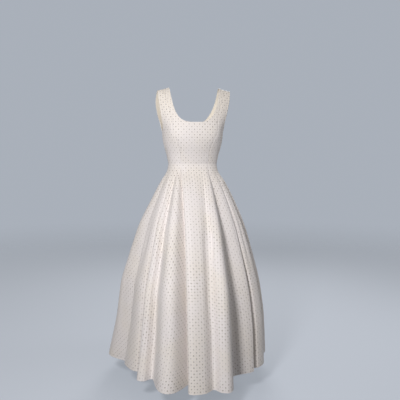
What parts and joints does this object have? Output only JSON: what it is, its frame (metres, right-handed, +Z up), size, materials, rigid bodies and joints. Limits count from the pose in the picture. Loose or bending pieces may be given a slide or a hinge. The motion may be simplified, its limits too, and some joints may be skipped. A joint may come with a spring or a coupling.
{
  "type": "wedding dress",
  "caption": "Sleeveless princess-line wedding dress as worn: wide scoop neck, shoulder straps, fitted body and a full folded skirt to the ankle, with a back zip.",
  "frame": {"origin": "midway between the shoulders, at the height of the inner ends of the shoulder seams", "axes": "+Z up; the front faces -Y; the wearer's left is +X"},
  "size_m": [0.7286, 0.8474, 1.2321],
  "materials": {
    "cloth": "ivory-white eyelet cotton over an opaque lining, matt with a faint sheen",
    "tape": "ivory woven cotton zip tape",
    "zip_metal": "nickel-plated zip teeth, slider and pull"
  },
  "bodies": {
    "dress": {"front_centre": "cloth", "front_side_left": "cloth", "front_side_right": "cloth", "back_side_left": "cloth", "back_side_right": "cloth", "back_left": "cloth", "back_right": "cloth", "zip_tape_left": "tape", "zip_tape_right": "tape", "zip_teeth_left": "zip_metal", "zip_teeth_right": "zip_metal", "zip_slider": "zip_metal"},
    "pull": {"zip_pull": "zip_metal"}
  },
  "joints": [
    {"name": "pull_hinge", "type": "hinge", "parent": "dress", "child": "pull", "pos_m": [0, 0.09626, -0.17455], "axis": [1, 0, 0], "range_deg": [0, 160]}
  ]
}
